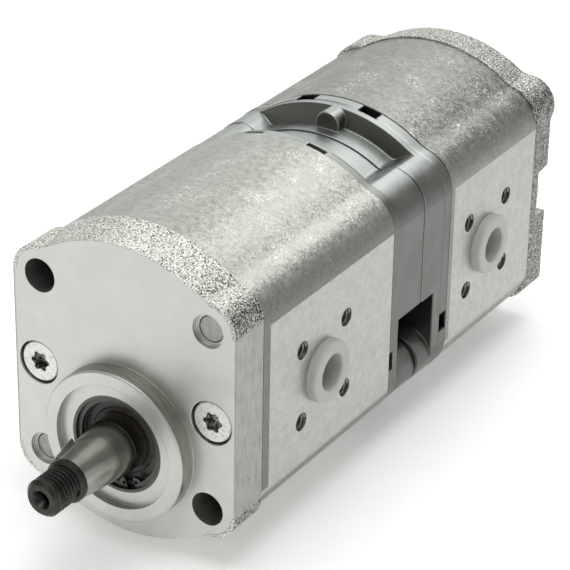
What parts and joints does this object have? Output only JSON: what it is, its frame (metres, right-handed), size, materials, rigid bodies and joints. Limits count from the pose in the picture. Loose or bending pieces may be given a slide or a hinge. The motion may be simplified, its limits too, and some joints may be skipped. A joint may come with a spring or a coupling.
{
  "type": "tandem hydraulic gear pump",
  "caption": "Tandem external gear pump with tapered keyed drive shaft, centring spigot and flanged side ports.",
  "frame": {"origin": "on the drive shaft axis, at the mounting face round the centring spigot", "axes": "+Y back along the pump, the shaft points to -Y; +Z from the drive gear up to the idler gear; +X out of the delivery ports"},
  "size_m": [0.086, 0.2361, 0.1012],
  "materials": {
    "cover_casting": "coarse cast with machined faces",
    "body_extrusion": "extruded, scuffed, with milled port faces",
    "middle_casting": "smooth die-cast",
    "bolt_steel": "plain steel",
    "screw_zinc": "zinc plated, mottled",
    "gear_steel": "case hardened, ground",
    "shaft_steel": "ground, black oxide on the thread",
    "key_steel": "plain steel",
    "sleeve_steel": "phosphated",
    "seal_rubber": "nitrile rubber",
    "spring_steel": "blackened spring steel",
    "plug_plastic": "translucent white polyethylene",
    "support_plastic": "natural polyamide",
    "block_aluminium": "machined",
    "bush_bronze": "lead bronze on steel, coated"
  },
  "bodies": {
    "housing": {"bearing_block_1_front": "block_aluminium", "bearing_block_1_rear": "block_aluminium", "bearing_block_2_front": "block_aluminium", "bearing_block_2_rear": "block_aluminium", "body_seal_1_front": "seal_rubber", "body_seal_1_rear": "seal_rubber", "body_seal_2_front": "seal_rubber", "body_seal_2_rear": "seal_rubber", "bushes_1_front": "bush_bronze", "bushes_1_rear": "bush_bronze", "bushes_2_front": "bush_bronze", "bushes_2_rear": "bush_bronze", "dowels_front": "bolt_steel", "dowels_middle": "bolt_steel", "dowels_rear": "bolt_steel", "dowels_stage_1_rear": "bolt_steel", "dowels_stage_2_front": "bolt_steel", "front_cover": "cover_casting", "front_cover_screws": "screw_zinc", "interstage_seal": "seal_rubber", "middle_cover_front": "middle_casting", "middle_cover_rear": "middle_casting", "middle_seal": "seal_rubber", "pressure_seal_1_front": "seal_rubber", "pressure_seal_1_rear": "seal_rubber", "pressure_seal_2_front": "seal_rubber", "pressure_seal_2_rear": "seal_rubber", "pump_body_1": "body_extrusion", "pump_body_2": "body_extrusion", "rear_cover": "cover_casting", "rear_cover_screws": "screw_zinc", "seal_circlip": "spring_steel", "seal_spring": "spring_steel", "shaft_seal": "seal_rubber", "support_ring_1_front": "support_plastic", "support_ring_1_rear": "support_plastic", "support_ring_2_front": "support_plastic", "support_ring_2_rear": "support_plastic", "tie_bolts": "bolt_steel"},
    "drive_shafts": {"drive_shaft_1": "shaft_steel", "woodruff_key": "key_steel", "coupling_sleeve": "sleeve_steel", "drive_shaft_2": "gear_steel"},
    "idler_1": {"idler_gear_1": "gear_steel"},
    "idler_2": {"idler_gear_2": "gear_steel"},
    "plug_delivery_front": {"plug_delivery_1": "plug_plastic"},
    "plug_delivery_back": {"plug_delivery_2": "plug_plastic"},
    "plug_suction_front": {"plug_suction_1": "plug_plastic"},
    "plug_suction_back": {"plug_suction_2": "plug_plastic"}
  },
  "joints": [
    {"name": "drive_spin", "type": "hinge", "parent": "housing", "child": "drive_shafts", "pos_m": [0, 0, 0], "axis": [0, 1, 0], "continuous": true},
    {"name": "idler_1_spin", "type": "hinge", "parent": "housing", "child": "idler_1", "pos_m": [0, 0, 0.0322], "axis": [0, 1, 0], "continuous": true},
    {"name": "idler_2_spin", "type": "hinge", "parent": "housing", "child": "idler_2", "pos_m": [0, 0, 0.0322], "axis": [0, 1, 0], "continuous": true},
    {"name": "plug_delivery_front_pull", "type": "slide", "parent": "housing", "child": "plug_delivery_front", "axis": [1, 0, 0], "range_m": [0, 0.03]},
    {"name": "plug_delivery_back_pull", "type": "slide", "parent": "housing", "child": "plug_delivery_back", "axis": [1, 0, 0], "range_m": [0, 0.03]},
    {"name": "plug_suction_front_pull", "type": "slide", "parent": "housing", "child": "plug_suction_front", "axis": [-1, 0, 0], "range_m": [0, 0.03]},
    {"name": "plug_suction_back_pull", "type": "slide", "parent": "housing", "child": "plug_suction_back", "axis": [-1, 0, 0], "range_m": [0, 0.03]}
  ],
  "couplings": [
    {"joint": "idler_1_spin", "follows": "drive_spin", "ratio": -1},
    {"joint": "idler_2_spin", "follows": "drive_spin", "ratio": -1}
  ]
}
